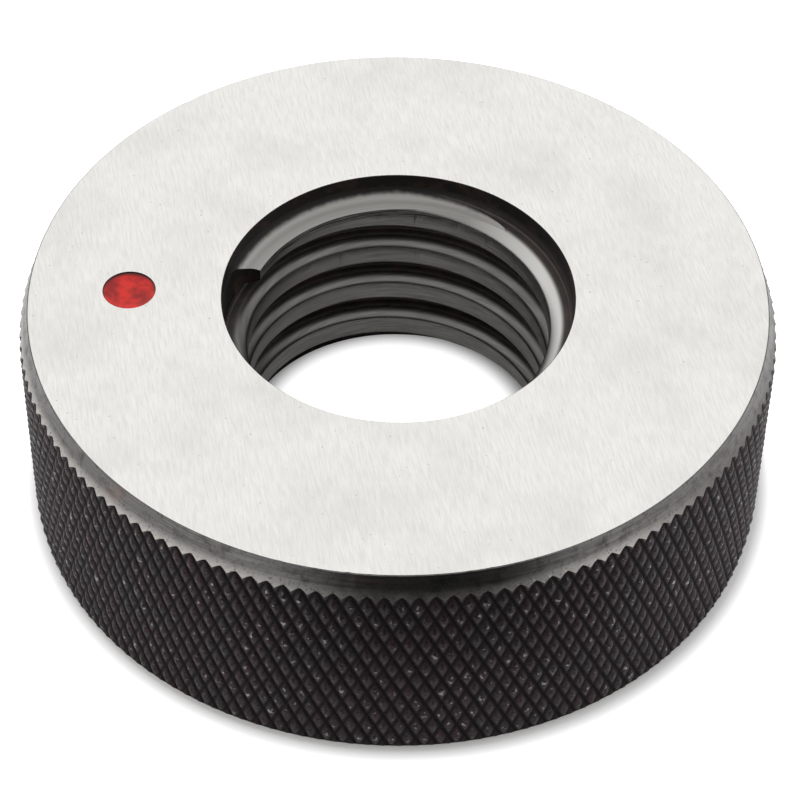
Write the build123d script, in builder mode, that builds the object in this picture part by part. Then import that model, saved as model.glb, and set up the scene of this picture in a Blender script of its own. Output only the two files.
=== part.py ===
"""Thread ring gauge, NOT-GO member: a hardened steel ring with a red mark.

Millimetres. The gauge lies on its underside at z = 0 with its axis on +Z.
+Y is twelve o'clock on the face, and the red mark is at nine o'clock, on -X.
"""
from build123d import *
import math
import os

os.makedirs("parts", exist_ok=True)

# Ring blank, measured over the tips of its knurled band
outer_diameter = 53.0
thickness = 17.7
rim_chamfer_width = 0.75
rim_chamfer_height = 2.0

# Right-hand thread of 60 degree form: short flanks with a square relief behind them
minor_diameter = 21.3
pitch = 3.64
groove_mouth = 2.0
groove_depth = 1.55
flank_depth = 0.73
flank_angle = 30.0

# Recess in the face and countersink in the underside
recess_margin = 0.1
recess_depth = 1.85
recess_corner_radius = 0.8
countersink_depth = 3.1

# Blunt start: the ridge ends square, this far round from twelve o'clock
blunt_start_angle = 67.5

# Red mark: enamel in a shallow dimple, set in from the rim
mark_diameter = 3.65
mark_inset = 7.75
dimple_depth = 0.5
enamel_below_face = 0.08

# Radii and heights that follow from these sizes
outer_radius = outer_diameter / 2
face_radius = outer_radius - rim_chamfer_width
minor_radius = minor_diameter / 2
flank_radius = minor_radius + flank_depth
root_radius = minor_radius + groove_depth
recess_radius = root_radius + recess_margin
floor_z = thickness - recess_depth
mark_position = (mark_inset - outer_radius, 0)

# At twelve o'clock the first ridge has its top edge level with the recess floor, and
# the groove's centre line runs half a groove below that ridge.
TWELVE = 90.0
ridge_width = pitch - groove_mouth
groove_z_at_twelve = floor_z - ridge_width - groove_mouth / 2

# Whole turns of groove, from under the ring at three o'clock to above its face
groove_z_at_three = groove_z_at_twelve - pitch / 4
turns_below = math.ceil((groove_z_at_three + groove_mouth) / pitch)
turns_above = math.ceil((thickness - groove_z_at_three) / pitch)
groove_start_z = groove_z_at_three - turns_below * pitch
groove_turns = turns_below + turns_above

# Groove outline: half widths at the cutter's open side and at the relief
flank_slope = math.tan(math.radians(flank_angle))
cutter_radius = minor_radius - groove_depth / 2
cutter_half_width = groove_mouth / 2 + (minor_radius - cutter_radius) * flank_slope
relief_half_width = groove_mouth / 2 - flank_depth * flank_slope

# The first ridge thins to a feather edge where its underside meets the recess floor.
# It is milled away from its blunt start to a little past there.
feather_angle = 360 * (floor_z - groove_z_at_twelve - relief_half_width) / pitch
feather_clearance = 6.0
ridge_end_angle = feather_angle + feather_clearance - blunt_start_angle
ridge_end_z = groove_z_at_twelve + pitch * blunt_start_angle / 360
ridge_end_height = floor_z - groove_z_at_twelve
ridge_end_radius = recess_radius - recess_margin / 2


with BuildPart() as groove_turn:
    # Cutter for one turn of the thread groove, starting at three o'clock
    with BuildLine():
        Helix(pitch, pitch, minor_radius)
    with BuildSketch(Plane.XZ):
        with BuildLine():
            Polyline(
                (cutter_radius, -cutter_half_width),
                (flank_radius, -relief_half_width),
                (root_radius, -relief_half_width),
                (root_radius, relief_half_width),
                (flank_radius, relief_half_width),
                (cutter_radius, cutter_half_width),
                close=True,
            )
        make_face()
    sweep(is_frenet=True)


with BuildPart() as ridge_end:
    # Cutter that mills the thinning end of the first ridge away, along the same helix
    with BuildLine():
        Helix(pitch, pitch * ridge_end_angle / 360, minor_radius)
    with BuildSketch(Plane.XZ):
        with BuildLine():
            Polyline(
                (cutter_radius, 0),
                (ridge_end_radius, 0),
                (ridge_end_radius, ridge_end_height),
                (cutter_radius, ridge_end_height),
                close=True,
            )
        make_face()
    sweep(is_frenet=True)


with BuildPart() as gauge_ring:
    # Turned blank, both rims chamfered
    with BuildSketch(Plane.XZ):
        with BuildLine():
            Polyline(
                (0, 0),
                (face_radius, 0),
                (outer_radius, rim_chamfer_height),
                (outer_radius, thickness - rim_chamfer_height),
                (face_radius, thickness),
                (0, thickness),
                close=True,
            )
        make_face()
    revolve(axis=Axis.Z)

    # Bore with a recess in the face; the recess wall runs into its floor in a radius
    with Locations((0, 0, thickness)):
        CounterBoreHole(minor_radius, recess_radius, recess_depth)
    underside, recess_floor = gauge_ring.faces().filter_by(Plane.XY).sort_by(Axis.Z)[:2]
    fillet(recess_floor.outer_wire().edges(), recess_corner_radius)

    # Countersink at the bore's lower mouth
    chamfer(underside.inner_wires().edges(), countersink_depth)

    # Thread groove, one turn after another, and the blunt start of its first ridge
    for turn in range(groove_turns):
        with Locations((0, 0, groove_start_z + turn * pitch)):
            add(groove_turn.part, mode=Mode.SUBTRACT)
    with Locations(Location((0, 0, ridge_end_z), (0, 0, TWELVE + blunt_start_angle))):
        add(ridge_end.part, mode=Mode.SUBTRACT)

    # Dimple for the red mark
    with BuildSketch(Plane.XY.offset(thickness)):
        with Locations(mark_position):
            Circle(mark_diameter / 2)
    extrude(amount=-dimple_depth, mode=Mode.SUBTRACT)


with BuildPart() as red_mark:
    # Enamel that fills the dimple to just under the face
    with BuildSketch(Plane.XY.offset(thickness - dimple_depth)):
        with Locations(mark_position):
            Circle(mark_diameter / 2)
    extrude(amount=dimple_depth - enamel_below_face)


gauge_ring.part.label = "gauge_ring"
red_mark.part.label = "red_mark"
export_step(gauge_ring.part, "parts/gauge_ring.step")
export_step(red_mark.part, "parts/red_mark.step")
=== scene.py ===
"""Thread ring gauge, not-go member, on a pale floor in soft studio light.

Metres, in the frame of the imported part: the underside at z = 0, the bore on +Z,
twelve o'clock on the face at +Y and the red mark at -X.
"""
import math

import bmesh
import bpy
from mathutils import Matrix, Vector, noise


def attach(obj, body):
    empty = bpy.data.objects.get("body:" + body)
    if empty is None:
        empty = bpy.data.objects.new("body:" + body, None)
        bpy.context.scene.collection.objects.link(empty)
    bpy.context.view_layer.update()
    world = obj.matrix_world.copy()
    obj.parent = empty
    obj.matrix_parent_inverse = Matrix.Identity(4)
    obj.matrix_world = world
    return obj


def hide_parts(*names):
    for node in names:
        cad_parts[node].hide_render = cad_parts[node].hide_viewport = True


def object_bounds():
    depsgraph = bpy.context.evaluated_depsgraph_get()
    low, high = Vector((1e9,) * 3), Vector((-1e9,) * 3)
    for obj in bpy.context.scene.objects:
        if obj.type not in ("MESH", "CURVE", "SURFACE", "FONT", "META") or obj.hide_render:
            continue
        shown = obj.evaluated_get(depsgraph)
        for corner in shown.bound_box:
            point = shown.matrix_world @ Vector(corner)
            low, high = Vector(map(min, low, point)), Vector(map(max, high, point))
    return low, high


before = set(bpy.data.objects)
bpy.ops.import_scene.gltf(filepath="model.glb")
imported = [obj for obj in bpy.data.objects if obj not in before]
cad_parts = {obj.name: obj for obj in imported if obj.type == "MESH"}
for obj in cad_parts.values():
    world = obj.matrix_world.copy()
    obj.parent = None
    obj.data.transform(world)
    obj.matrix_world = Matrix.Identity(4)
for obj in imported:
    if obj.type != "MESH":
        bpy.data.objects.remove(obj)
cad_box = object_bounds()
MM = 0.001

# Ring blank: a disc of tool steel, turned, chamfered on both rims and hardened.
# Both faces are surface ground. The upper chamfer keeps its turned, stained skin and is
# rolled over and rubbed bright along its outer edge; the lower one is short and at 45 degrees.
outer_radius = min(abs(cad_box[0][0]), abs(cad_box[0][1]), cad_box[1][0], cad_box[1][1])
thickness = cad_box[1][2]
chamfer_width = 0.75 * MM
chamfer_height = 2.0 * MM
bright_width = 0.43 * MM
bright_height = 0.8 * MM
bend_height = 0.36 * MM
bend_radius = outer_radius - bright_width
bend_depth = chamfer_height - bright_height
face_radius = outer_radius - chamfer_width
lower_chamfer = 0.85 * MM
edge_break = 0.05 * MM
flat_enough = 0.9
knurling_stock = 0.03 * MM
blank_segments = 540
merge_distance = 0.001 * MM


def to_linear(hex_colour):
    """The linear colour of an sRGB hex value."""
    channels = [int(hex_colour[start:start + 2], 16) / 255 for start in (1, 3, 5)]
    return tuple(c / 12.92 if c <= 0.04045 else ((c + 0.055) / 1.055) ** 2.4 for c in channels) + (1.0,)


def feed(tree, target, inputs):
    """Sets or links a node's inputs. A node given as an input means its first output in use."""
    for key, value in inputs.items():
        if isinstance(value, bpy.types.Node):
            value = next(output for output in value.outputs if output.enabled)
        if isinstance(value, bpy.types.NodeSocket):
            tree.links.new(value, target.inputs[key])
        else:
            target.inputs[key].default_value = value


def node(tree, kind, inputs=None, **settings):
    """Adds a node with its settings and its inputs."""
    added = tree.nodes.new(kind)
    for name, value in settings.items():
        setattr(added, name, value)
    feed(tree, added, inputs or {})
    return added


def new_material(name):
    """An empty material, its tree, its shader and the object's own coordinates."""
    material = bpy.data.materials.new(name)
    material.use_nodes = True
    tree = material.node_tree
    tree.nodes.clear()
    shader = node(tree, "ShaderNodeBsdfPrincipled")
    node(tree, "ShaderNodeOutputMaterial", {"Surface": shader})
    return material, tree, shader, node(tree, "ShaderNodeTexCoord").outputs["Object"]


def keep(name, mesh):
    """Puts a mesh in the scene as an object at the origin."""
    kept = bpy.data.objects.new(name, mesh)
    bpy.context.scene.collection.objects.link(kept)
    return kept


def turned(name, outline, segments, material):
    """A closed solid turned about Z. Its outline of (radius, height) starts and ends on the axis."""
    solid = bmesh.new()
    points = [solid.verts.new((radius, 0, height)) for radius, height in outline]
    lines = [solid.edges.new(pair) for pair in zip(points, points[1:])]
    bmesh.ops.spin(
        solid, geom=points + lines, axis=(0, 0, 1), angle=math.tau, steps=segments, use_merge=True,
    )
    bmesh.ops.remove_doubles(solid, verts=solid.verts, dist=merge_distance)
    bmesh.ops.recalc_face_normals(solid, faces=solid.faces)
    mesh = bpy.data.meshes.new(name)
    solid.to_mesh(mesh)
    solid.free()
    mesh.materials.append(material)
    return keep(name, mesh)


# Surface-ground hardened steel: pale and satin, with faint straight grinding lines that
# all run one way, soft smudges and a few dark pinpricks. Real grinding lines are too fine
# to show, so they are drawn coarser.
grinding_direction = math.radians(11.2)
grinding_line_width = 0.14 * MM
grinding_line_length = 1.6 * MM
grinding_line_depth = 0.004 * MM
smudge_size = 5.0 * MM
pinprick_size = 0.28 * MM

ground_steel, tree, shader, place = new_material("surface_ground_steel")
laid = node(tree, "ShaderNodeMapping", {
    "Vector": place, "Rotation": (0, 0, grinding_direction),
    "Scale": (grinding_line_width, grinding_line_length, 1.0),
}, vector_type="TEXTURE")
lines = node(tree, "ShaderNodeTexNoise", {"Vector": laid, "Scale": 1.0, "Detail": 3.0, "Roughness": 0.6})
brushed = node(tree, "ShaderNodeMix", {
    "Factor": node(tree, "ShaderNodeMapRange", {"Value": lines, "From Min": 0.34, "From Max": 0.62}),
    "A": to_linear("#E5E3DF"), "B": to_linear("#F1F0EC"),
}, data_type="RGBA")
smudges = node(tree, "ShaderNodeTexNoise", {"Vector": place, "Scale": 1 / smudge_size, "Detail": 4.0})
smudged = node(tree, "ShaderNodeMix", {
    "Factor": node(tree, "ShaderNodeMapRange", {
        "Value": smudges, "From Min": 0.45, "From Max": 0.75, "To Max": 0.4,
    }),
    "A": brushed, "B": to_linear("#D2D0CB"),
}, data_type="RGBA")
pinpricks = node(tree, "ShaderNodeTexNoise", {"Vector": place, "Scale": 1 / pinprick_size, "Detail": 1.0})
ground = node(tree, "ShaderNodeMix", {
    "Factor": node(tree, "ShaderNodeMapRange", {
        "Value": pinpricks, "From Min": 0.74, "From Max": 0.82, "To Max": 0.5,
    }),
    "A": smudged, "B": to_linear("#8E8B86"),
}, data_type="RGBA")
feed(tree, shader, {
    "Metallic": 1.0,
    "Base Color": ground,
    "Roughness": node(tree, "ShaderNodeMapRange", {
        "Value": lines, "From Min": 0.3, "From Max": 0.7, "To Min": 0.38, "To Max": 0.28,
    }),
    "Normal": node(tree, "ShaderNodeBump", {
        "Height": lines, "Strength": 0.3, "Distance": grinding_line_depth,
    }),
})

# Turned tool steel: grey and mottled by hardening, with fine rings left by the lathe,
# pitted dark specks and a breath of rust. Towards the knurl it is rubbed brighter; towards
# the right that bright band has painted shade.
lathe_ring_width = 0.1 * MM
lathe_ring_length = 4.0 * MM
lathe_ring_depth = 0.006 * MM
mottle_size = 0.8 * MM
speck_size = 0.2 * MM
rust_size = 4.0 * MM
bright_from = thickness - bend_depth + 0.15 * MM
brightest_from = thickness - chamfer_height + 0.25 * MM
right_shade_from = 0.55 * outer_radius
right_shade_full_from = 0.8 * outer_radius

turned_steel, tree, shader, place = new_material("turned_chamfer_steel")
rings = node(tree, "ShaderNodeTexNoise", {
    "Vector": node(tree, "ShaderNodeMapping", {
        "Vector": place, "Scale": (lathe_ring_length, lathe_ring_length, lathe_ring_width),
    }, vector_type="TEXTURE"),
    "Scale": 1.0, "Detail": 2.0,
})
mottle = node(tree, "ShaderNodeTexNoise", {
    "Vector": place, "Scale": 1 / mottle_size, "Detail": 5.0, "Roughness": 0.65,
})
ringed = node(tree, "ShaderNodeMix", {
    "Factor": node(tree, "ShaderNodeMapRange", {"Value": rings, "From Min": 0.35, "From Max": 0.65}),
    "A": to_linear("#5F5D5B"), "B": to_linear("#757371"),
}, data_type="RGBA")
mottled = node(tree, "ShaderNodeMix", {
    "Factor": node(tree, "ShaderNodeMapRange", {
        "Value": mottle, "From Min": 0.5, "From Max": 0.7, "To Max": 0.75,
    }),
    "A": ringed, "B": to_linear("#3E3B39"),
}, data_type="RGBA")
level = node(tree, "ShaderNodeSeparateXYZ", {0: place}).outputs
rust = node(tree, "ShaderNodeTexNoise", {"Vector": place, "Scale": 1 / rust_size, "Detail": 4.0})
rusted = node(tree, "ShaderNodeMix", {
    "Factor": node(tree, "ShaderNodeMapRange", {
        "Value": rust, "From Min": 0.66, "From Max": 0.74, "To Max": 0.35,
    }),
    "A": mottled, "B": to_linear("#8A6554"),
}, data_type="RGBA")
# Painted shade: the rubbed bright band is darker towards the right
right_side_shade = node(tree, "ShaderNodeMapRange", {
    "Value": level["X"], "From Min": right_shade_from, "From Max": right_shade_full_from,
})
rubbed_bright_shaded_right = node(tree, "ShaderNodeMix", {
    "Factor": right_side_shade, "A": to_linear("#B4B1AD"), "B": to_linear("#6A6765"),
}, data_type="RGBA")
brightened = node(tree, "ShaderNodeMix", {
    "Factor": node(tree, "ShaderNodeMapRange", {
        "Value": level["Z"], "From Min": bright_from, "From Max": brightest_from,
    }),
    "A": rusted, "B": rubbed_bright_shaded_right,
}, data_type="RGBA")
specks = node(tree, "ShaderNodeTexNoise", {"Vector": place, "Scale": 1 / speck_size, "Detail": 3.0})
speckled = node(tree, "ShaderNodeMix", {
    "Factor": node(tree, "ShaderNodeMapRange", {
        "Value": specks, "From Min": 0.58, "From Max": 0.7, "To Max": 0.6,
    }),
    "A": brightened, "B": to_linear("#4A4744"),
}, data_type="RGBA")
feed(tree, shader, {
    "Metallic": 1.0,
    "Base Color": speckled,
    "Roughness": node(tree, "ShaderNodeMapRange", {
        "Value": mottle, "From Min": 0.35, "From Max": 0.7, "To Min": 0.24, "To Max": 0.4,
    }),
    "Normal": node(tree, "ShaderNodeBump", {
        "Height": rings, "Strength": 0.5, "Distance": lathe_ring_depth,
    }),
})

skin_slope = (chamfer_width - bright_width) / (chamfer_height - bright_height)
bright_slope = bright_width / bright_height
lower_rim = [
    (outer_radius - lower_chamfer - edge_break, 0),
    (outer_radius - lower_chamfer + edge_break / 2, edge_break),
    (outer_radius + knurling_stock, lower_chamfer + knurling_stock),
]
upper_rim = [
    (face_radius - edge_break, 0),
    (face_radius + edge_break / 2, edge_break),
    (bend_radius - skin_slope * bend_height / 2, bend_depth - bend_height / 2),
    (bend_radius + bright_slope * bend_height / 2, bend_depth + bend_height / 2),
    (outer_radius + knurling_stock, chamfer_height + knurling_stock / bright_slope),
]
blank = turned(
    "ring_blank",
    [
        (0, 0),
        *lower_rim,
        *((radius, thickness - depth) for radius, depth in upper_rim[::-1]),
        (0, thickness),
    ],
    blank_segments,
    turned_steel,
)
blank.data.materials.append(ground_steel)
for face in blank.data.polygons:
    face.material_index = int(abs(face.normal.z) > flat_enough)

# The sharp rim of the marked face has small knocks in it
knock_size = 0.6 * MM
knock_depth = 0.16 * MM
knock_rarity = 0.4
for vertex in blank.data.vertices:
    reach = math.hypot(vertex.co.x, vertex.co.y)
    if abs(reach - face_radius) < edge_break * 1.1:
        knock = max(0.0, noise.noise(vertex.co / knock_size) - knock_rarity) * knock_depth
        vertex.co.xy *= 1 - knock / reach


# Knurl: two rolled sets of slanting grooves that cross and leave rows of small diamonds.
# The rolled band keeps the black scale of hardening; only its crests are rubbed bright.
knurl_depth = 0.23 * MM
knurl_teeth = 150
knurl_repeat = 2.45 * MM
knurl_phase = math.radians(-1.4)
shallower_set = 0.88
diamond_points = 7
spare_rows = 5
MATH = "ShaderNodeMath"


def grown(name, tree, values):
    """Runs a Geometry Nodes tree with its named inputs set, and keeps what it makes as a plain mesh."""
    carrier = keep(name, bpy.data.meshes.new(name))
    modifier = carrier.modifiers.new("grown", "NODES")
    modifier.node_group = tree
    for item in tree.interface.items_tree:
        if item.in_out == "INPUT" and item.name in values:
            modifier[item.identifier] = values[item.name]
    depsgraph = bpy.context.evaluated_depsgraph_get()
    mesh = bpy.data.meshes.new_from_object(carrier.evaluated_get(depsgraph))
    carrier.modifiers.remove(modifier)
    carrier.data = mesh
    return carrier


def new_geometry_tree(name, sockets):
    """A Geometry Nodes tree with named inputs, its group input and its group output."""
    tree = bpy.data.node_groups.new(name, "GeometryNodeTree")
    tree.interface.new_socket("Geometry", in_out="OUTPUT", socket_type="NodeSocketGeometry")
    for socket_name, kind in sockets.items():
        tree.interface.new_socket(socket_name, in_out="INPUT", socket_type="NodeSocket" + kind)
    return tree, node(tree, "NodeGroupInput").outputs, node(tree, "NodeGroupOutput")


def tidied(piece):
    """Merges a closed mesh's doubled points and turns its faces outwards."""
    shape = bmesh.new()
    shape.from_mesh(piece.data)
    bmesh.ops.remove_doubles(shape, verts=shape.verts, dist=merge_distance)
    bmesh.ops.recalc_face_normals(shape, faces=shape.faces)
    shape.to_mesh(piece.data)
    shape.free()
    return piece


def distance_from_axis(tree, place):
    """How far each point is from the ring's axis."""
    flat = node(tree, "ShaderNodeVectorMath", {0: place, 1: (1, 1, 0)}, operation="MULTIPLY")
    return node(tree, "ShaderNodeVectorMath", {0: flat}, operation="LENGTH")


# Black oxide scale on rolled steel: black and dull down in the grooves, burnished dark
# grey on the crests, with brown and purple patches and small bright rubs. The black down
# in the grooves is partly scale and partly painted shade. How deep each of these reaches
# is a share of the knurl's depth.
scale_patch_size = 3.5 * MM
scale_grain_size = 0.17 * MM
scale_grain_depth = 0.05 * MM
rub_size = 0.42 * MM
ragged_share = 0.6
crest_share = 0.95
full_crest_share = 0.55
rub_share = 0.6
full_rub_share = 0.2

black_scale_knurl, tree, shader, place = new_material("black_scale_knurl")
patches = node(tree, "ShaderNodeTexNoise", {
    "Vector": place, "Scale": 1 / scale_patch_size, "Detail": 3.0,
})
grain = node(tree, "ShaderNodeTexNoise", {"Vector": place, "Scale": 1 / scale_grain_size, "Detail": 2.0})
rubs = node(tree, "ShaderNodeTexNoise", {"Vector": place, "Scale": 1 / rub_size, "Detail": 2.0})
from_axis = distance_from_axis(tree, place)
uneven = node(tree, MATH, {
    0: node(tree, MATH, {0: grain, 1: 0.5}, operation="SUBTRACT"), 1: ragged_share * knurl_depth,
}, operation="MULTIPLY")
crest = node(tree, "ShaderNodeMapRange", {
    "Value": node(tree, MATH, {0: from_axis, 1: uneven}, operation="ADD"),
    "From Min": outer_radius - crest_share * knurl_depth,
    "From Max": outer_radius - full_crest_share * knurl_depth,
})
tinted = node(tree, "ShaderNodeMix", {
    "Factor": node(tree, "ShaderNodeMapRange", {"Value": patches, "From Min": 0.4, "From Max": 0.6}),
    "A": to_linear("#3C3A3A"), "B": to_linear("#43353A"),
}, data_type="RGBA")
grained = node(tree, "ShaderNodeMix", {
    "Factor": node(tree, "ShaderNodeMapRange", {
        "Value": grain, "From Min": 0.42, "From Max": 0.62, "To Max": 0.9,
    }),
    "A": tinted, "B": to_linear("#251D1F"),
}, data_type="RGBA")
# Darker towards the groove bottoms: black scale together with painted shade
knurl_groove_scale_and_shade = node(tree, "ShaderNodeMix", {
    "Factor": crest, "A": to_linear("#110A0C"), "B": grained,
}, data_type="RGBA")
rubbed = node(tree, MATH, {
    0: node(tree, "ShaderNodeMapRange", {"Value": rubs, "From Min": 0.61, "From Max": 0.68}),
    1: node(tree, "ShaderNodeMapRange", {
        "Value": from_axis, "From Min": outer_radius - rub_share * knurl_depth,
        "From Max": outer_radius - full_rub_share * knurl_depth,
    }),
}, operation="MULTIPLY")
worn = node(tree, "ShaderNodeMix", {
    "Factor": rubbed, "A": knurl_groove_scale_and_shade, "B": to_linear("#9A9896"),
}, data_type="RGBA")
feed(tree, shader, {
    "Specular IOR Level": 0.12,
    "Base Color": worn,
    "Metallic": node(tree, MATH, {
        0: rubbed, 1: node(tree, "ShaderNodeMapRange", {"Value": crest, "To Max": 0.7}),
    }, operation="MAXIMUM"),
    "Roughness": node(tree, "ShaderNodeMapRange", {"Value": crest, "To Min": 0.8, "To Max": 0.38}),
    "Normal": node(tree, "ShaderNodeBump", {
        "Height": grain, "Strength": 0.8, "Distance": scale_grain_depth,
    }),
})

bar_tree, given, result = new_geometry_tree("knurled_bar", {
    "Radius": "Float", "Depth": "Float", "Teeth": "Int", "Repeat": "Float", "Rows": "Int",
    "Phase": "Float", "Shallower Set": "Float", "Middle": "Float", "Pole": "Float",
    "Material": "Material",
})
# One diamond: a small grid whose two directions run square to the two sets of grooves
grid = node(bar_tree, "GeometryNodeMeshGrid", {
    "Size X": 1.0, "Size Y": 1.0, "Vertices X": diamond_points, "Vertices Y": diamond_points,
})
across = node(bar_tree, "ShaderNodeSeparateXYZ", {0: node(bar_tree, "GeometryNodeInputPosition")}).outputs
half_step = node(bar_tree, MATH, {0: math.pi, 1: given["Teeth"]}, operation="DIVIDE")
half_repeat = node(bar_tree, MATH, {0: given["Repeat"], 1: 0.5}, operation="MULTIPLY")
turn = node(bar_tree, MATH, {
    0: node(bar_tree, MATH, {0: across[0], 1: across[1]}, operation="SUBTRACT"), 1: half_step,
}, operation="MULTIPLY")
height = node(bar_tree, MATH, {
    0: node(bar_tree, MATH, {0: across[0], 1: across[1]}, operation="ADD"), 1: half_repeat,
}, operation="MULTIPLY")
fall = [
    node(bar_tree, "ShaderNodeMapRange", {
        "Value": node(bar_tree, MATH, {0: direction}, operation="ABSOLUTE"), "From Max": 0.5,
    }, interpolation_type="SMOOTHSTEP")
    for direction in across[:2]
]
lowest = node(bar_tree, MATH, {
    0: fall[0], 1: node(bar_tree, MATH, {0: fall[1], 1: given["Shallower Set"]}, operation="MULTIPLY"),
}, operation="MAXIMUM")
radius = node(bar_tree, MATH, {
    0: given["Radius"], 1: node(bar_tree, MATH, {0: lowest, 1: given["Depth"]}, operation="MULTIPLY"),
}, operation="SUBTRACT")
bent = node(bar_tree, "ShaderNodeCombineXYZ", {
    0: node(bar_tree, MATH, {
        0: radius, 1: node(bar_tree, MATH, {0: turn}, operation="COSINE"),
    }, operation="MULTIPLY"),
    1: node(bar_tree, MATH, {
        0: radius, 1: node(bar_tree, MATH, {0: turn}, operation="SINE"),
    }, operation="MULTIPLY"),
    2: height,
})
diamond = node(bar_tree, "GeometryNodeSetPosition", {"Geometry": grid, "Position": bent})
# Diamonds stand in rows round the axis, every second row turned by half a step
index = node(bar_tree, "GeometryNodeInputIndex")
row = node(bar_tree, MATH, {
    0: node(bar_tree, MATH, {0: index, 1: given["Teeth"]}, operation="DIVIDE"),
}, operation="FLOOR")
half_shift = node(bar_tree, MATH, {
    0: node(bar_tree, MATH, {0: row, 1: 2.0}, operation="MODULO"), 1: half_step,
}, operation="MULTIPLY")
whole_steps = node(bar_tree, MATH, {
    0: node(bar_tree, MATH, {0: index, 1: 2.0}, operation="MULTIPLY"), 1: half_step,
}, operation="MULTIPLY")
angle = node(bar_tree, MATH, {
    0: node(bar_tree, MATH, {0: whole_steps, 1: half_shift}, operation="ADD"), 1: given["Phase"],
}, operation="ADD")
middle_row = node(bar_tree, MATH, {
    0: node(bar_tree, MATH, {0: given["Rows"], 1: 1.0}, operation="SUBTRACT"), 1: 0.5,
}, operation="MULTIPLY")
rise = node(bar_tree, MATH, {
    0: node(bar_tree, MATH, {0: row, 1: middle_row}, operation="SUBTRACT"), 1: half_repeat,
}, operation="MULTIPLY")
level = node(bar_tree, MATH, {0: given["Middle"], 1: rise}, operation="ADD")
points = node(bar_tree, "GeometryNodePoints", {
    "Count": node(bar_tree, MATH, {0: given["Teeth"], 1: given["Rows"]}, operation="MULTIPLY"),
    "Position": node(bar_tree, "ShaderNodeCombineXYZ", {2: level}),
})
placed = node(bar_tree, "GeometryNodeInstanceOnPoints", {
    "Points": points, "Instance": diamond, "Rotation": node(bar_tree, "ShaderNodeCombineXYZ", {2: angle}),
})
band = node(bar_tree, "GeometryNodeMergeByDistance", {
    "Geometry": node(bar_tree, "GeometryNodeRealizeInstances", {0: placed}), "Distance": merge_distance,
})
# Both zigzag ends are drawn in to a point on the axis, so that the bar is closed
open_edge = node(bar_tree, "FunctionNodeCompare", {
    2: node(bar_tree, "GeometryNodeInputMeshEdgeNeighbors"), 3: 1,
}, data_type="INT", operation="EQUAL")
ends = node(bar_tree, "GeometryNodeExtrudeMesh", {
    "Mesh": band, "Selection": open_edge, "Offset Scale": 0.0,
}, mode="EDGES")
above = node(bar_tree, "ShaderNodeSeparateXYZ", {
    0: node(bar_tree, "GeometryNodeInputPosition"),
}).outputs["Z"]
side = node(bar_tree, MATH, {
    0: node(bar_tree, MATH, {0: above, 1: given["Middle"]}, operation="SUBTRACT"),
}, operation="SIGN")
pole = node(bar_tree, MATH, {
    0: given["Middle"], 1: node(bar_tree, MATH, {0: side, 1: given["Pole"]}, operation="MULTIPLY"),
}, operation="ADD")
closed = node(bar_tree, "GeometryNodeSetPosition", {
    "Geometry": ends.outputs["Mesh"], "Selection": ends.outputs["Top"],
    "Position": node(bar_tree, "ShaderNodeCombineXYZ", {2: pole}),
})
bar = node(bar_tree, "GeometryNodeMergeByDistance", {"Geometry": closed, "Distance": merge_distance})
finished = node(bar_tree, "GeometryNodeSetMaterial", {
    "Geometry": node(bar_tree, "GeometryNodeRealizeInstances", {0: bar}), "Material": given["Material"],
})
feed(bar_tree, result, {0: finished})

knurled_bar = tidied(grown("knurled_bar", bar_tree, {
    "Radius": outer_radius, "Depth": knurl_depth, "Teeth": knurl_teeth, "Repeat": knurl_repeat,
    "Rows": 2 * math.ceil(thickness / knurl_repeat) + spare_rows, "Phase": knurl_phase,
    "Shallower Set": shallower_set, "Middle": thickness / 2, "Pole": thickness,
    "Material": black_scale_knurl,
}))


# Bore: drilled and bored, with a recess turned in the face and a countersink below.
# The recess runs out in a small radius; its wall is still black from hardening.
minor_radius = 10.65 * MM
recess_radius = 12.3 * MM
recess_depth = 1.85 * MM
recess_corner = 0.8 * MM
countersink = 3.1 * MM
bore_segments = 360
corner_steps = 10
overshoot = 1.0 * MM
floor_level = thickness - recess_depth

# Black oxide scale on turned steel: matt and nearly black, with rusty brown blotches.
blotch_size = 1.4 * MM
blotch_depth = 0.03 * MM
scale_blotches = {"Scale": 1 / blotch_size, "Detail": 4.0, "Roughness": 0.6}

black_scale, tree, shader, place = new_material("black_scale_in_bore")
blotches = node(tree, "ShaderNodeTexNoise", {"Vector": place, **scale_blotches})
blotched = node(tree, "ShaderNodeMix", {
    "Factor": node(tree, "ShaderNodeMapRange", {
        "Value": blotches, "From Min": 0.5, "From Max": 0.68, "To Max": 0.8,
    }),
    "A": to_linear("#14110F"), "B": to_linear("#3D2C24"),
}, data_type="RGBA")
feed(tree, shader, {
    "Specular IOR Level": 0.25,
    "Base Color": blotched,
    "Roughness": node(tree, "ShaderNodeMapRange", {
        "Value": blotches, "From Min": 0.35, "From Max": 0.7, "To Min": 0.5, "To Max": 0.7,
    }),
    "Normal": node(tree, "ShaderNodeBump", {
        "Height": blotches, "Strength": 0.5, "Distance": blotch_depth,
    }),
})

# Recess floor: turned steel with faint rings. The black scale of the wall runs down the
# round corner and fades out on the floor, further in and more softly at both sides, most
# of all on the right. The bare steel inside it has painted light, lighter towards the right.
scale_ends_at = 12.12 * MM
scale_ends_aside = 11.62 * MM
soft_edge = 0.3 * MM
soft_edge_aside = 0.45 * MM
left_share = 0.2
right_light_from = 0.45 * recess_radius
full_side_from = 0.85 * recess_radius
ragged_size = 0.45 * MM
ragged_depth = 0.02 * MM
ragged_reach = 0.14 * MM
floor_ring_width = 0.12 * MM
dark_spot_place = (5.2 * MM, 10.9 * MM, floor_level)
dark_spot_radius = 0.5 * MM

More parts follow.
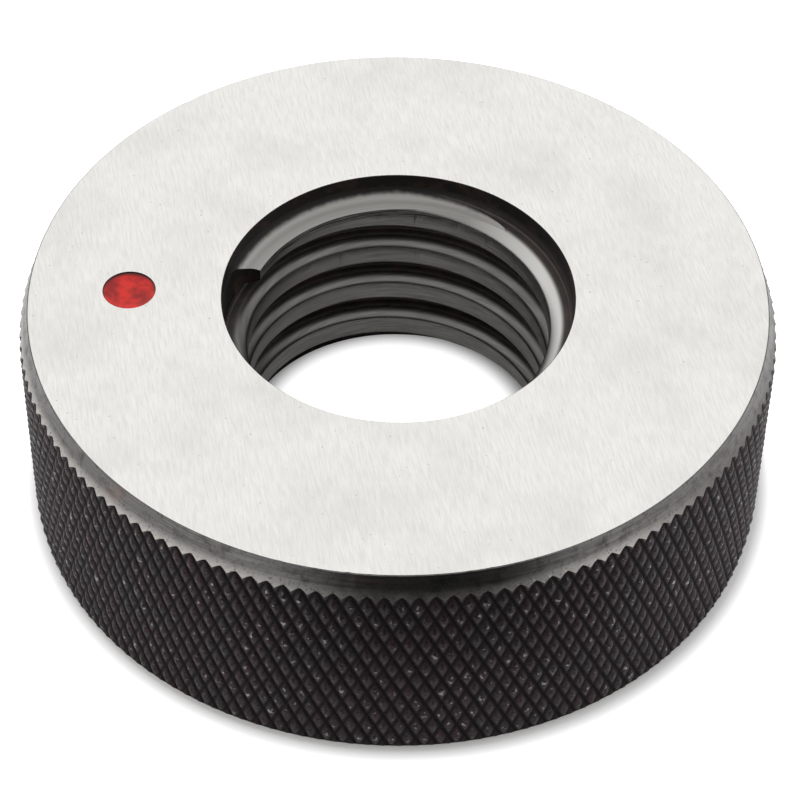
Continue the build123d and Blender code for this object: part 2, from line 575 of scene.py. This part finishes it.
recess_floor, tree, shader, place = new_material("turned_recess_floor")
from_axis = distance_from_axis(tree, place)
ragged = node(tree, "ShaderNodeTexNoise", {"Vector": place, "Scale": 1 / ragged_size, "Detail": 4.0})
ragged_offset = node(tree, MATH, {
    0: node(tree, MATH, {0: ragged, 1: 0.5}, operation="SUBTRACT"), 1: ragged_reach,
}, operation="MULTIPLY")
rightwards = node(tree, "ShaderNodeSeparateXYZ", {0: place}).outputs["X"]
to_side = node(tree, "ShaderNodeMapRange", {
    "Value": node(tree, MATH, {
        0: rightwards,
        1: node(tree, MATH, {0: rightwards, 1: -left_share}, operation="MULTIPLY"),
    }, operation="MAXIMUM"),
    "From Min": 0.0, "From Max": full_side_from,
})
scale_edge = node(tree, "ShaderNodeMapRange", {
    "Value": to_side, "To Min": scale_ends_at, "To Max": scale_ends_aside,
})
past_edge = node(tree, MATH, {
    0: node(tree, MATH, {0: from_axis, 1: ragged_offset}, operation="ADD"), 1: scale_edge,
}, operation="SUBTRACT")
half_soft = node(tree, "ShaderNodeMapRange", {
    "Value": to_side, "To Min": soft_edge / 2, "To Max": soft_edge_aside / 2,
})
scaled = node(tree, "ShaderNodeMapRange", {
    "Value": past_edge,
    "From Min": node(tree, MATH, {0: 0.0, 1: half_soft}, operation="SUBTRACT"),
    "From Max": half_soft,
}, interpolation_type="SMOOTHSTEP")
from_spot = node(tree, "ShaderNodeVectorMath", {0: place, 1: dark_spot_place}, operation="DISTANCE")
spotted = node(tree, "ShaderNodeMapRange", {
    "Value": node(tree, MATH, {0: from_spot, 1: ragged_offset}, operation="ADD"),
    "From Min": dark_spot_radius, "From Max": 0.3 * dark_spot_radius, "To Max": 0.4,
})
blackened = node(tree, MATH, {0: scaled, 1: spotted}, operation="MAXIMUM")
rings = node(tree, "ShaderNodeTexNoise", {
    "Vector": node(tree, "ShaderNodeCombineXYZ", {0: from_axis}),
    "Scale": 1 / floor_ring_width, "Detail": 2.0,
})
ringed = node(tree, "ShaderNodeMix", {
    "Factor": node(tree, "ShaderNodeMapRange", {"Value": rings, "From Min": 0.35, "From Max": 0.65}),
    "A": to_linear("#ABA9A5"), "B": to_linear("#B6B4B0"),
}, data_type="RGBA")
# Painted light: the bare floor is lighter towards the right
lit_on_right = node(tree, "ShaderNodeMix", {
    "Factor": node(tree, "ShaderNodeMapRange", {
        "Value": rightwards, "From Min": right_light_from, "From Max": full_side_from,
    }),
    "A": ringed, "B": to_linear("#DDDBD7"),
}, data_type="RGBA")
edged = node(tree, "ShaderNodeMix", {
    "Factor": blackened, "A": lit_on_right, "B": to_linear("#14110F"),
}, data_type="RGBA")
feed(tree, shader, {
    "Base Color": edged,
    "Metallic": node(tree, "ShaderNodeMapRange", {"Value": blackened, "To Min": 0.5, "To Max": 0.0}),
    "Roughness": 0.6,
    "Normal": node(tree, "ShaderNodeBump", {
        "Height": ragged, "Strength": 0.3, "Distance": ragged_depth,
    }),
})

# Ground thread crests: grey steel with fine streaks that follow the thread, drawn coarser
# than real ones so that they show. The crest next to the recess floor is darker and torn,
# where the recess tool ran along it.
streak_width = 0.09 * MM
streak_length = 2.4 * MM
streak_depth = 0.006 * MM
torn_depth = 0.62 * MM
torn_reach = 0.06 * MM


def thread_streaks(tree, place):
    """Noise for the fine streaks that run round with the thread."""
    return node(tree, "ShaderNodeTexNoise", {
        "Vector": node(tree, "ShaderNodeMapping", {
            "Vector": place, "Scale": (streak_length, streak_length, streak_width),
        }, vector_type="TEXTURE"),
        "Scale": 1.0, "Detail": 3.0, "Roughness": 0.6,
    })


crest_steel, tree, shader, place = new_material("ground_thread_crest")
streaks = thread_streaks(tree, place)
streaked = node(tree, "ShaderNodeMix", {
    "Factor": node(tree, "ShaderNodeMapRange", {"Value": streaks, "From Min": 0.35, "From Max": 0.65}),
    "A": to_linear("#8E8C88"), "B": to_linear("#B0AEAA"),
}, data_type="RGBA")
torn_streaks = node(tree, "ShaderNodeMix", {
    "Factor": node(tree, "ShaderNodeMapRange", {"Value": streaks, "From Min": 0.44, "From Max": 0.58}),
    "A": to_linear("#575451"), "B": to_linear("#A8A5A0"),
}, data_type="RGBA")
from_axis = distance_from_axis(tree, place)
ragged = node(tree, MATH, {0: streaks, 1: 0.5 * torn_depth}, operation="MULTIPLY")
torn = node(tree, MATH, {
    0: node(tree, "ShaderNodeMapRange", {
        "Value": node(tree, MATH, {
            0: node(tree, "ShaderNodeSeparateXYZ", {0: place}).outputs["Z"], 1: ragged,
        }, operation="ADD"),
        "From Min": floor_level - 0.85 * torn_depth, "From Max": floor_level - 0.65 * torn_depth,
    }),
    1: node(tree, "ShaderNodeMapRange", {
        "Value": from_axis,
        "From Min": minor_radius + torn_reach, "From Max": minor_radius + torn_reach / 2,
    }),
}, operation="MULTIPLY")
roughened = node(tree, "ShaderNodeMix", {
    "Factor": torn, "A": streaked, "B": torn_streaks,
}, data_type="RGBA")
feed(tree, shader, {
    "Metallic": 1.0,
    "Base Color": roughened,
    "Roughness": node(tree, "ShaderNodeMapRange", {"Value": torn, "To Min": 0.33, "To Max": 0.5}),
    "Normal": node(tree, "ShaderNodeBump", {
        "Height": streaks, "Strength": 0.4, "Distance": streak_depth,
    }),
})

corner = [
    (
        recess_radius - recess_corner * (1 - math.cos(step * math.pi / 2 / corner_steps)),
        floor_level + recess_corner * (1 - math.sin(step * math.pi / 2 / corner_steps)),
    )
    for step in range(corner_steps + 1)
]
bore_tool = turned(
    "bore_tool",
    [
        (0, thickness + overshoot),
        (recess_radius + edge_break + overshoot, thickness + overshoot),
        (recess_radius, thickness - edge_break),
        *corner,
        (minor_radius, floor_level),
        (minor_radius, countersink),
        (minor_radius + countersink + overshoot, -overshoot),
        (0, -overshoot),
    ],
    bore_segments,
    black_scale,
)
bore_tool.data.materials.append(crest_steel)
bore_tool.data.materials.append(recess_floor)
for face in bore_tool.data.polygons:
    if floor_level - edge_break < face.center.z < floor_level + recess_corner:
        face.material_index = 2
    elif countersink < face.center.z < floor_level:
        face.material_index = 1


# Thread: a right-hand groove cut along a helix, with short ground flanks of 60 degree form
# and a square relief behind them, which was cut before hardening and is still dark.
pitch = 3.64 * MM
groove_mouth = 2.0 * MM
groove_depth = 1.55 * MM
flank_depth = 0.73 * MM
flank_angle = math.radians(30)
mouth_flare = 0.6 * MM
crest_rounding = 0.12 * MM
turns_below_twelve = 4
groove_turns = 6
thread_segments = 192
groove_at_twelve = floor_level - (pitch - groove_mouth) - groove_mouth / 2

# Ground thread flanks: grey steel, with painted light near the recess floor, most of all on
# the right. They grow darker outwards, partly painted shade under the ridge above, until they
# end in the nearly black scale of the relief.
flank_ends_at = 11.35 * MM
relief_starts_at = 11.75 * MM
lit_depth = 1.1 * MM
lit_flank_from = 0.45 * minor_radius
lit_flank_full_from = 0.95 * minor_radius

flank_steel, tree, shader, place = new_material("ground_thread_flank")
from_axis = distance_from_axis(tree, place)
streaks = thread_streaks(tree, place)
streaked = node(tree, "ShaderNodeMix", {
    "Factor": node(tree, "ShaderNodeMapRange", {"Value": streaks, "From Min": 0.35, "From Max": 0.65}),
    "A": to_linear("#686663"), "B": to_linear("#7C7A77"),
}, data_type="RGBA")
level = node(tree, "ShaderNodeSeparateXYZ", {0: place}).outputs
# Painted light: the flank is lighter near the recess floor, most of all on the right
lit_flank = node(tree, "ShaderNodeMix", {
    "Factor": node(tree, "ShaderNodeMapRange", {
        "Value": level["X"], "From Min": lit_flank_from, "From Max": lit_flank_full_from,
    }),
    "A": to_linear("#8A8884"), "B": to_linear("#CCCAC6"),
}, data_type="RGBA")
streaked_and_lit = node(tree, "ShaderNodeMix", {
    "Factor": node(tree, "ShaderNodeMapRange", {
        "Value": level["Z"],
        "From Min": floor_level - lit_depth, "From Max": floor_level - lit_depth / 2,
    }),
    "A": streaked, "B": lit_flank,
}, data_type="RGBA")
# Darker outwards: painted shade under the ridge above, then the relief's black scale
scale_and_groove_shade = node(tree, "ShaderNodeMapRange", {
    "Value": from_axis, "From Min": flank_ends_at, "From Max": relief_starts_at,
}, interpolation_type="SMOOTHSTEP")
blotches = node(tree, "ShaderNodeTexNoise", {"Vector": place, **scale_blotches})
scaled = node(tree, "ShaderNodeMix", {
    "Factor": node(tree, "ShaderNodeMapRange", {"Value": blotches, "From Min": 0.4, "From Max": 0.68}),
    "A": to_linear("#2B2827"), "B": to_linear("#43362F"),
}, data_type="RGBA")
faded = node(tree, "ShaderNodeMix", {
    "Factor": scale_and_groove_shade, "A": streaked_and_lit, "B": scaled,
}, data_type="RGBA")
feed(tree, shader, {
    "Base Color": faded,
    "Metallic": node(tree, "ShaderNodeMapRange", {"Value": scale_and_groove_shade, "To Min": 1.0, "To Max": 0.0}),
    "Roughness": node(tree, "ShaderNodeMapRange", {"Value": scale_and_groove_shade, "To Min": 0.34, "To Max": 0.55}),
    "Normal": node(tree, "ShaderNodeBump", {
        "Height": streaks, "Strength": 0.4, "Distance": streak_depth,
    }),
})

helix_tree, given, result = new_geometry_tree("helical_cutter", {
    "Outline": "Object", "Radius": "Float", "Pitch": "Float", "Turns": "Float", "Segments": "Int",
    "Start Angle": "Float", "Start Height": "Float", "Material": "Material",
})
helix = node(helix_tree, "GeometryNodeCurveSpiral", {
    "Resolution": given["Segments"], "Rotations": given["Turns"], "Start Radius": given["Radius"],
    "End Radius": given["Radius"], "Reverse": True,
    "Height": node(helix_tree, MATH, {0: given["Pitch"], 1: given["Turns"]}, operation="MULTIPLY"),
})
upright = node(helix_tree, "GeometryNodeSetCurveNormal", {"Curve": helix}, mode="Z_UP")
outline = node(helix_tree, "GeometryNodeMeshToCurve", {
    "Mesh": node(helix_tree, "GeometryNodeObjectInfo", {"Object": given["Outline"]}).outputs["Geometry"],
})
swept = node(helix_tree, "GeometryNodeCurveToMesh", {
    "Curve": upright, "Profile Curve": outline, "Fill Caps": True,
})
placed = node(helix_tree, "GeometryNodeTransform", {
    "Geometry": swept,
    "Translation": node(helix_tree, "ShaderNodeCombineXYZ", {2: given["Start Height"]}),
    "Rotation": node(helix_tree, "ShaderNodeCombineXYZ", {2: given["Start Angle"]}),
})
finished = node(helix_tree, "GeometryNodeSetMaterial", {
    "Geometry": node(helix_tree, "GeometryNodeRealizeInstances", {0: placed}),
    "Material": given["Material"],
})
feed(helix_tree, result, {0: finished})


def helical_cutter(name, points, start_angle, start_height, turns, material):
    """A closed cutter swept up a right-hand helix. Its outline is (outwards, upwards) of the crests."""
    mesh = bpy.data.meshes.new(name)
    count = len(points)
    edges = [(start, (start + 1) % count) for start in range(count)]
    mesh.from_pydata([(outwards, -upwards, 0) for outwards, upwards in points], edges, [])
    outline = keep(name + "_outline", mesh)
    cutter = tidied(grown(name, helix_tree, {
        "Outline": outline, "Radius": minor_radius, "Pitch": pitch, "Turns": turns,
        "Segments": thread_segments, "Start Angle": start_angle, "Start Height": start_height,
        "Material": material,
    }))
    bpy.data.objects.remove(outline)
    return cutter


half_mouth = groove_mouth / 2
half_relief = half_mouth - flank_depth * math.tan(flank_angle)
lower_half = [
    (-groove_depth / 2, -half_mouth - mouth_flare),
    (0, -half_mouth - crest_rounding),
    (crest_rounding * 0.3, -half_mouth - crest_rounding * 0.3),
    (crest_rounding, -half_mouth + crest_rounding * 0.6),
    (flank_depth, -half_relief),
    (groove_depth - crest_rounding, -half_relief),
    (groove_depth, -half_relief + crest_rounding),
]
groove_cutter = helical_cutter(
    "groove_cutter", lower_half + [(outwards, -upwards) for outwards, upwards in reversed(lower_half)],
    0.0, groove_at_twelve - pitch / 4 - turns_below_twelve * pitch, groove_turns, flank_steel,
)

# Blunt start: the thinning end of the first ridge is milled away down to the groove, with
# a small end mill that leaves a round corner at its outer side
twelve = math.pi / 2
blunt_start = twelve + math.radians(67.5)
feather_clearance = math.radians(6)
wall_clearance = 0.05 * MM
end_mill_radius = 1.3 * MM
end_mill_reach = 10.95 * MM
end_mill_segments = 48
milled_from = blunt_start + end_mill_radius / end_mill_reach
milled_to = (
    twelve + math.tau * (floor_level - groove_at_twelve - half_relief) / pitch + feather_clearance
)
milled_down_to = groove_at_twelve + pitch * (milled_from - twelve) / math.tau
ridge_top = floor_level - groove_at_twelve
ridge_reach = recess_radius - minor_radius - wall_clearance
ridge_cutter = helical_cutter(
    "ridge_cutter",
    [(-groove_depth / 2, 0), (ridge_reach, 0), (ridge_reach, ridge_top), (-groove_depth / 2, ridge_top)],
    milled_from, milled_down_to, (milled_to - milled_from) / math.tau, black_scale,
)
end_mill = turned(
    "end_mill",
    [
        (0, milled_down_to),
        (end_mill_radius, milled_down_to),
        (end_mill_radius, floor_level + recess_corner / 2),
        (0, floor_level + recess_corner / 2),
    ],
    end_mill_segments,
    black_scale,
)
end_mill.data.transform(Matrix.Rotation(milled_from, 4, "Z") @ Matrix.Translation((end_mill_reach, 0, 0)))


# Dimple: a shallow flat-bottomed hole, drilled in the face to hold the red enamel. Its
# edge is broken, and it kept the black scale of hardening.
mark_radius = 3.65 * MM / 2
mark_centre = 18.75 * MM
dimple_depth = 0.5 * MM
mark_segments = 64

dimple_tool = turned(
    "dimple_tool",
    [
        (0, thickness - dimple_depth),
        (mark_radius, thickness - dimple_depth),
        (mark_radius, thickness - edge_break / 2),
        (mark_radius + edge_break, thickness + edge_break / 2),
        (0, thickness + edge_break / 2),
    ],
    mark_segments,
    black_scale,
)
dimple_tool.data.transform(Matrix.Translation((-mark_centre, 0, 0)))

# The finished ring: the blank with its bore, recess, thread and dimple cut, and its rim
# held within the knurled bar, all one closed piece of steel.
sharp_from = math.radians(32)
gauge = blank
gauge.name = "knurled_thread_ring"
for tool, operation in (
    (bore_tool, "DIFFERENCE"), (groove_cutter, "DIFFERENCE"), (ridge_cutter, "DIFFERENCE"),
    (end_mill, "DIFFERENCE"), (dimple_tool, "DIFFERENCE"), (knurled_bar, "INTERSECT"),
):
    cut = gauge.modifiers.new(tool.name, "BOOLEAN")
    cut.object = tool
    cut.operation = operation
    cut.solver = "EXACT"
    cut.material_mode = "TRANSFER"
    depsgraph = bpy.context.evaluated_depsgraph_get()
    cut_mesh = bpy.data.meshes.new_from_object(gauge.evaluated_get(depsgraph))
    gauge.modifiers.remove(cut)
    gauge.data = cut_mesh
    bpy.data.objects.remove(tool)
gauge.data.polygons.foreach_set("use_smooth", [True] * len(gauge.data.polygons))
gauge.data.set_sharp_from_angle(angle=sharp_from)

# The ground faces stay flat up to their edges, and the recess floor keeps a crisp edge
# where the shallow flank of the thread runs into it
crisp_slots = {gauge.data.materials.find(kept.name) for kept in (ground_steel, recess_floor)}
shape = bmesh.new()
shape.from_mesh(gauge.data)
bmesh.ops.remove_doubles(shape, verts=shape.verts, dist=merge_distance)
bmesh.ops.dissolve_degenerate(shape, edges=shape.edges, dist=merge_distance)
for edge in shape.edges:
    slots = {face.material_index for face in edge.link_faces}
    if len(slots) > 1 and slots & crisp_slots:
        edge.smooth = False
shape.to_mesh(gauge.data)
shape.free()
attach(gauge, "root")
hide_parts("gauge_ring")


# Red mark: enamel run into the dimple, a little below the face and drawn up at its rim.
# Glossy and opaque, uneven in tone, with painted shade along the far side of its rim.
enamel_level = thickness - 0.08 * MM
dish_steps = 8
enamel_sag = 0.1 * MM
enamel_patch_size = 1.0 * MM
enamel_wave_depth = 0.02 * MM
enamel_sharp_from = math.radians(40)
rim_shade_from = 1.72 * MM
rim_shade_to = 1.95 * MM
rim_shade_centre = (-mark_centre, -0.2 * MM, enamel_level)

red_enamel, tree, shader, place = new_material("red_enamel")
patches = node(tree, "ShaderNodeTexNoise", {
    "Vector": place, "Scale": 1 / enamel_patch_size, "Detail": 4.0,
})
uneven = node(tree, "ShaderNodeMix", {
    "Factor": node(tree, "ShaderNodeMapRange", {"Value": patches, "From Min": 0.38, "From Max": 0.62}),
    "A": to_linear("#961815"), "B": to_linear("#D8281F"),
}, data_type="RGBA")
# Painted shade: darker along the far side of the rim
rim_shaded = node(tree, "ShaderNodeMix", {
    "Factor": node(tree, "ShaderNodeMapRange", {
        "Value": node(tree, "ShaderNodeVectorMath", {0: place, 1: rim_shade_centre}, operation="DISTANCE"),
        "From Min": rim_shade_from, "From Max": rim_shade_to,
    }),
    "A": uneven, "B": to_linear("#4A1512"),
}, data_type="RGBA")
feed(tree, shader, {
    "Base Color": rim_shaded,
    "Roughness": 0.3,
    "Specular IOR Level": 0.3,
    "Normal": node(tree, "ShaderNodeBump", {
        "Height": patches, "Strength": 0.3, "Distance": enamel_wave_depth,
    }),
})

dished = [
    (mark_radius * step / dish_steps, enamel_level - enamel_sag * (1 - (step / dish_steps) ** 4))
    for step in range(dish_steps, -1, -1)
]
mark = turned(
    "red_enamel_mark",
    [(0, thickness - dimple_depth), (mark_radius, thickness - dimple_depth), *dished],
    mark_segments,
    red_enamel,
)
mark.data.transform(Matrix.Translation((-mark_centre, 0, 0)))
mark.data.polygons.foreach_set("use_smooth", [True] * len(mark.data.polygons))
mark.data.set_sharp_from_angle(angle=enamel_sharp_from)
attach(mark, "root")
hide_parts("red_mark")


# Floor: plain white paper, far wider than the gauge. The camera sees it as pure white,
# except close round the gauge, where its shadow lies; through the bore it sees a painted
# glow that fades to painted shade at the bore's edge. Metal mirrors it a little dimmer,
# and dark in front, where it lies in the shade of the light tent's opening.
floor_half = 2.0
bore_light_centre = (-0.27 * MM, 3.35 * MM, 0)
white_in_bore = 8.8 * MM
dim_in_bore = 11.1 * MM
shadow_centre = (0.2 * MM, 0.2 * MM, 0)
shadow_from = 25.9 * MM
white_from = 28.4 * MM
mirrored_share = 0.35
shade_direction = (0.14, -0.99, 0)
shade_side = 0.8
shade_middle = 0.97
shade_starts_at = 28 * MM
shade_full_from = 50 * MM

floor_mesh = bpy.data.meshes.new("floor")
floor_mesh.from_pydata([
    (-floor_half, -floor_half, 0), (floor_half, -floor_half, 0),
    (floor_half, floor_half, 0), (-floor_half, floor_half, 0),
], [], [(0, 1, 2, 3)])
floor = keep("floor", floor_mesh)
white_paper = bpy.data.materials.new("white_paper")
white_paper.use_nodes = True
tree = white_paper.node_tree
tree.nodes.clear()
place = node(tree, "ShaderNodeTexCoord").outputs["Object"]
shade = node(tree, MATH, {
    0: node(tree, "ShaderNodeMapRange", {
        "Value": node(tree, "ShaderNodeVectorMath", {
            0: node(tree, "ShaderNodeVectorMath", {0: place}, operation="NORMALIZE"), 1: shade_direction,
        }, operation="DOT_PRODUCT"),
        "From Min": shade_side, "From Max": shade_middle,
    }, interpolation_type="SMOOTHSTEP"),
    1: node(tree, "ShaderNodeMapRange", {
        "Value": node(tree, "ShaderNodeVectorMath", {0: place}, operation="LENGTH"),
        "From Min": shade_starts_at, "From Max": shade_full_from,
    }, interpolation_type="SMOOTHSTEP"),
}, operation="MULTIPLY")
paper = node(tree, "ShaderNodeBsdfDiffuse", {
    "Color": node(tree, "ShaderNodeMix", {
        "Factor": shade, "A": to_linear("#E8E8E8"), "B": to_linear("#3C3C3C"),
    }, data_type="RGBA"),
})
rays = node(tree, "ShaderNodeLightPath").outputs
# Painted light: through the bore the floor glows white round a point off the axis, fading to painted shade
# towards the bore's edge
bore_glow_pool = node(tree, "ShaderNodeMapRange", {
    "Value": node(tree, "ShaderNodeVectorMath", {0: place, 1: bore_light_centre}, operation="DISTANCE"),
    "From Min": white_in_bore, "From Max": dim_in_bore, "To Min": 1.0, "To Max": 0.1,
}, interpolation_type="SMOOTHSTEP")
outside = node(tree, "ShaderNodeMapRange", {
    "Value": node(tree, "ShaderNodeVectorMath", {0: place, 1: shadow_centre}, operation="DISTANCE"),
    "From Min": shadow_from, "From Max": white_from,
}, interpolation_type="SMOOTHSTEP")
seen = node(tree, MATH, {
    0: node(tree, MATH, {0: bore_glow_pool, 1: outside}, operation="MAXIMUM"), 1: rays["Is Camera Ray"],
}, operation="MULTIPLY")
mirrored = node(tree, MATH, {
    0: node(tree, MATH, {0: rays["Is Glossy Ray"], 1: rays["Is Transmission Ray"]}, operation="MAXIMUM"),
    1: node(tree, "ShaderNodeMapRange", {"Value": shade, "To Min": mirrored_share, "To Max": 0.0}),
}, operation="MULTIPLY")
glow = node(tree, "ShaderNodeEmission", {
    "Strength": node(tree, MATH, {
        0: seen, 1: node(tree, MATH, {0: outside, 1: mirrored}, operation="MULTIPLY"),
    }, operation="MAXIMUM"),
})
node(tree, "ShaderNodeOutputMaterial", {"Surface": node(tree, "ShaderNodeAddShader", {0: paper, 1: glow})})
floor_mesh.materials.append(white_paper)


# Light: a soft white tent all round, open and dark on the camera's side, a little to the
# camera's right, so that the chamfer mirrors the dark in front and white at both sides.
opening_direction = (-0.14, 0.99, 0)
opening_middle = -0.99
opening_side = -0.58
opening_strength = 0.03

world = bpy.data.worlds.new("light_tent")
bpy.context.scene.world = world
world.use_nodes = True
tree = world.node_tree
tree.nodes.clear()
towards_back = node(tree, "ShaderNodeVectorMath", {
    0: node(tree, "ShaderNodeTexCoord").outputs["Generated"], 1: opening_direction,
}, operation="DOT_PRODUCT")
tent = node(tree, "ShaderNodeBackground", {
    "Color": (1, 1, 1, 1),
    "Strength": node(tree, "ShaderNodeMapRange", {
        "Value": towards_back, "From Min": opening_middle, "From Max": opening_side,
        "To Min": opening_strength, "To Max": 1.0,
    }, interpolation_type="SMOOTHSTEP"),
})
node(tree, "ShaderNodeOutputWorld", {"Surface": tent})


# Camera: the photograph's viewpoint, about 47 degrees above the table, with a long lens,
# tipped and rolled by about a degree to stand the ring where the photograph has it.
camera_distance = 217.1 * MM
camera_elevation = math.radians(47.44)
camera_roll = math.radians(0.77)
camera_tip = math.radians(1.28)
camera_yaw = math.radians(-0.074)
sensor_width = 36.0
focal_length = 132.1
camera_data = bpy.data.cameras.new("camera")
camera_data.sensor_width = sensor_width
camera_data.lens = focal_length
camera_data.clip_start = 10 * MM
camera = bpy.data.objects.new("camera", camera_data)
bpy.context.scene.collection.objects.link(camera)
camera.matrix_world = (
    Matrix.Translation((
        0, -camera_distance * math.cos(camera_elevation), camera_distance * math.sin(camera_elevation),
    ))
    @ Matrix.Rotation(math.pi / 2 - camera_elevation, 4, "X")
    @ Matrix.Rotation(camera_roll, 4, "Z")
    @ Matrix.Rotation(camera_tip, 4, "X")
    @ Matrix.Rotation(camera_yaw, 4, "Y")
)
bpy.context.scene.camera = camera
bpy.context.scene.view_settings.view_transform = "Standard"
